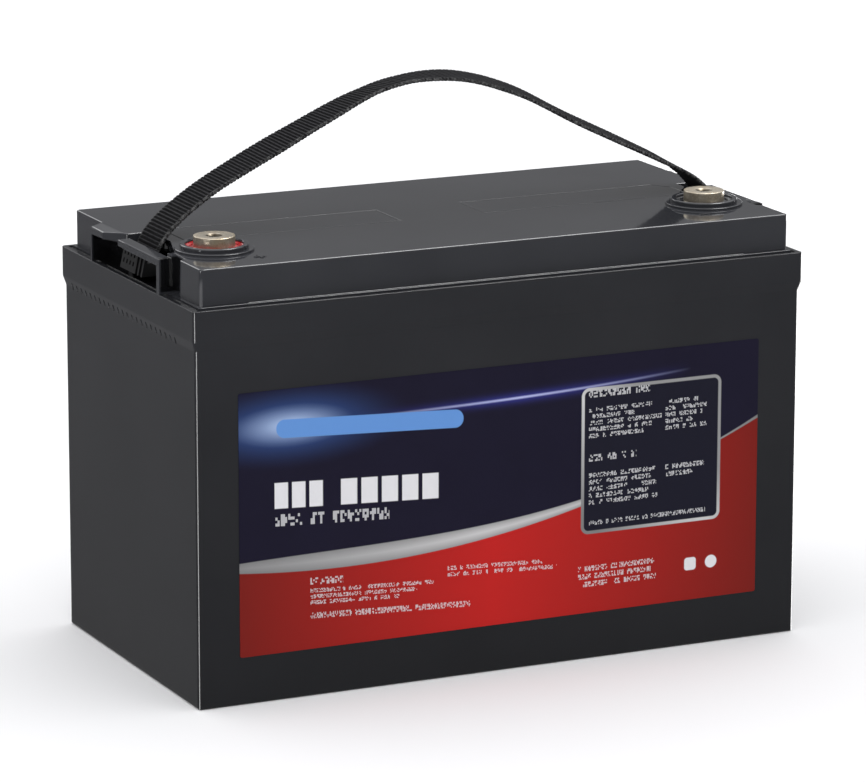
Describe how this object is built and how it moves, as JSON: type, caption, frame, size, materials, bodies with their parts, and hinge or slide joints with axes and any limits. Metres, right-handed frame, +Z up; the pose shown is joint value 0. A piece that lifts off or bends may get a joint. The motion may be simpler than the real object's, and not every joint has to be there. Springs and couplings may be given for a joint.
{
  "type": "deep cycle battery",
  "caption": "Sealed lead-acid deep cycle battery: black moulded case and lid, threaded top terminals, front label and an arched webbing carry strap held in pockets at the lid's ends.",
  "frame": {"origin": "middle of the base", "axes": "+X along the case from the positive to the negative terminal, -Y is the labelled front, +Z up"},
  "size_m": [0.33, 0.1724, 0.2871],
  "materials": {
    "black_abs": "polished black ABS, lightly scuffed on the edges",
    "adhesive": "black epoxy",
    "label_film": "printed gloss film in navy, red and silver",
    "webbing": "ribbed black polypropylene webbing",
    "anchor_plastic": "satin black moulding",
    "terminal_brass": "tinned brass, dulled and stained",
    "red_resin": "cast red epoxy",
    "black_resin": "cast black epoxy",
    "rubber": "moulded black rubber",
    "lead": "dull cast lead",
    "positive_paste": "dark brown lead dioxide paste",
    "glass_mat": "white absorbent glass mat"
  },
  "bodies": {
    "root": {"container": "black_abs", "lid": "black_abs", "lid_corner_left": "black_abs", "lid_corner_right": "black_abs", "lid_holder_left": "black_abs", "lid_holder_right": "black_abs", "vent_cover_left": "black_abs", "vent_cover_right": "black_abs", "lid_adhesive_seam": "adhesive", "front_label": "label_film", "terminal_positive": "terminal_brass", "terminal_negative": "terminal_brass", "resin_seal_positive": "red_resin", "resin_seal_negative": "black_resin", "o_ring_positive": "rubber", "o_ring_negative": "rubber", "valve_cap_1": "rubber", "valve_cap_2": "rubber", "valve_cap_3": "rubber", "valve_cap_4": "rubber", "valve_cap_5": "rubber", "valve_cap_6": "rubber", "terminal_post_positive": "lead", "terminal_post_negative": "lead", "positive_bus_1": "lead", "positive_bus_2": "lead", "positive_bus_3": "lead", "positive_bus_4": "lead", "positive_bus_5": "lead", "positive_bus_6": "lead", "negative_bus_1": "lead", "negative_bus_2": "lead", "negative_bus_3": "lead", "negative_bus_4": "lead", "negative_bus_5": "lead", "negative_bus_6": "lead", "intercell_welds": "lead", "negative_plates_1": "lead", "negative_plates_2": "lead", "negative_plates_3": "lead", "negative_plates_4": "lead", "negative_plates_5": "lead", "negative_plates_6": "lead", "positive_plates_1": "positive_paste", "positive_plates_2": "positive_paste", "positive_plates_3": "positive_paste", "positive_plates_4": "positive_paste", "positive_plates_5": "positive_paste", "positive_plates_6": "positive_paste", "glass_mats_1": "glass_mat", "glass_mats_2": "glass_mat", "glass_mats_3": "glass_mat", "glass_mats_4": "glass_mat", "glass_mats_5": "glass_mat", "glass_mats_6": "glass_mat"},
    "strap_anchors": {"strap_anchor_left": "anchor_plastic", "strap_anchor_right": "anchor_plastic"},
    "handle": {"handle_strap": "webbing"}
  },
  "joints": [
    {"name": "anchor_slide", "type": "slide", "parent": "root", "child": "strap_anchors", "axis": [0, 0, 1], "range_m": [-0.0025, 0]},
    {"name": "handle_fold", "type": "hinge", "parent": "strap_anchors", "child": "handle", "pos_m": [0, -0.002, 0.217], "axis": [1, 0, 0], "range_deg": [-75, 35], "deforming": ["handle_strap"]}
  ]
}
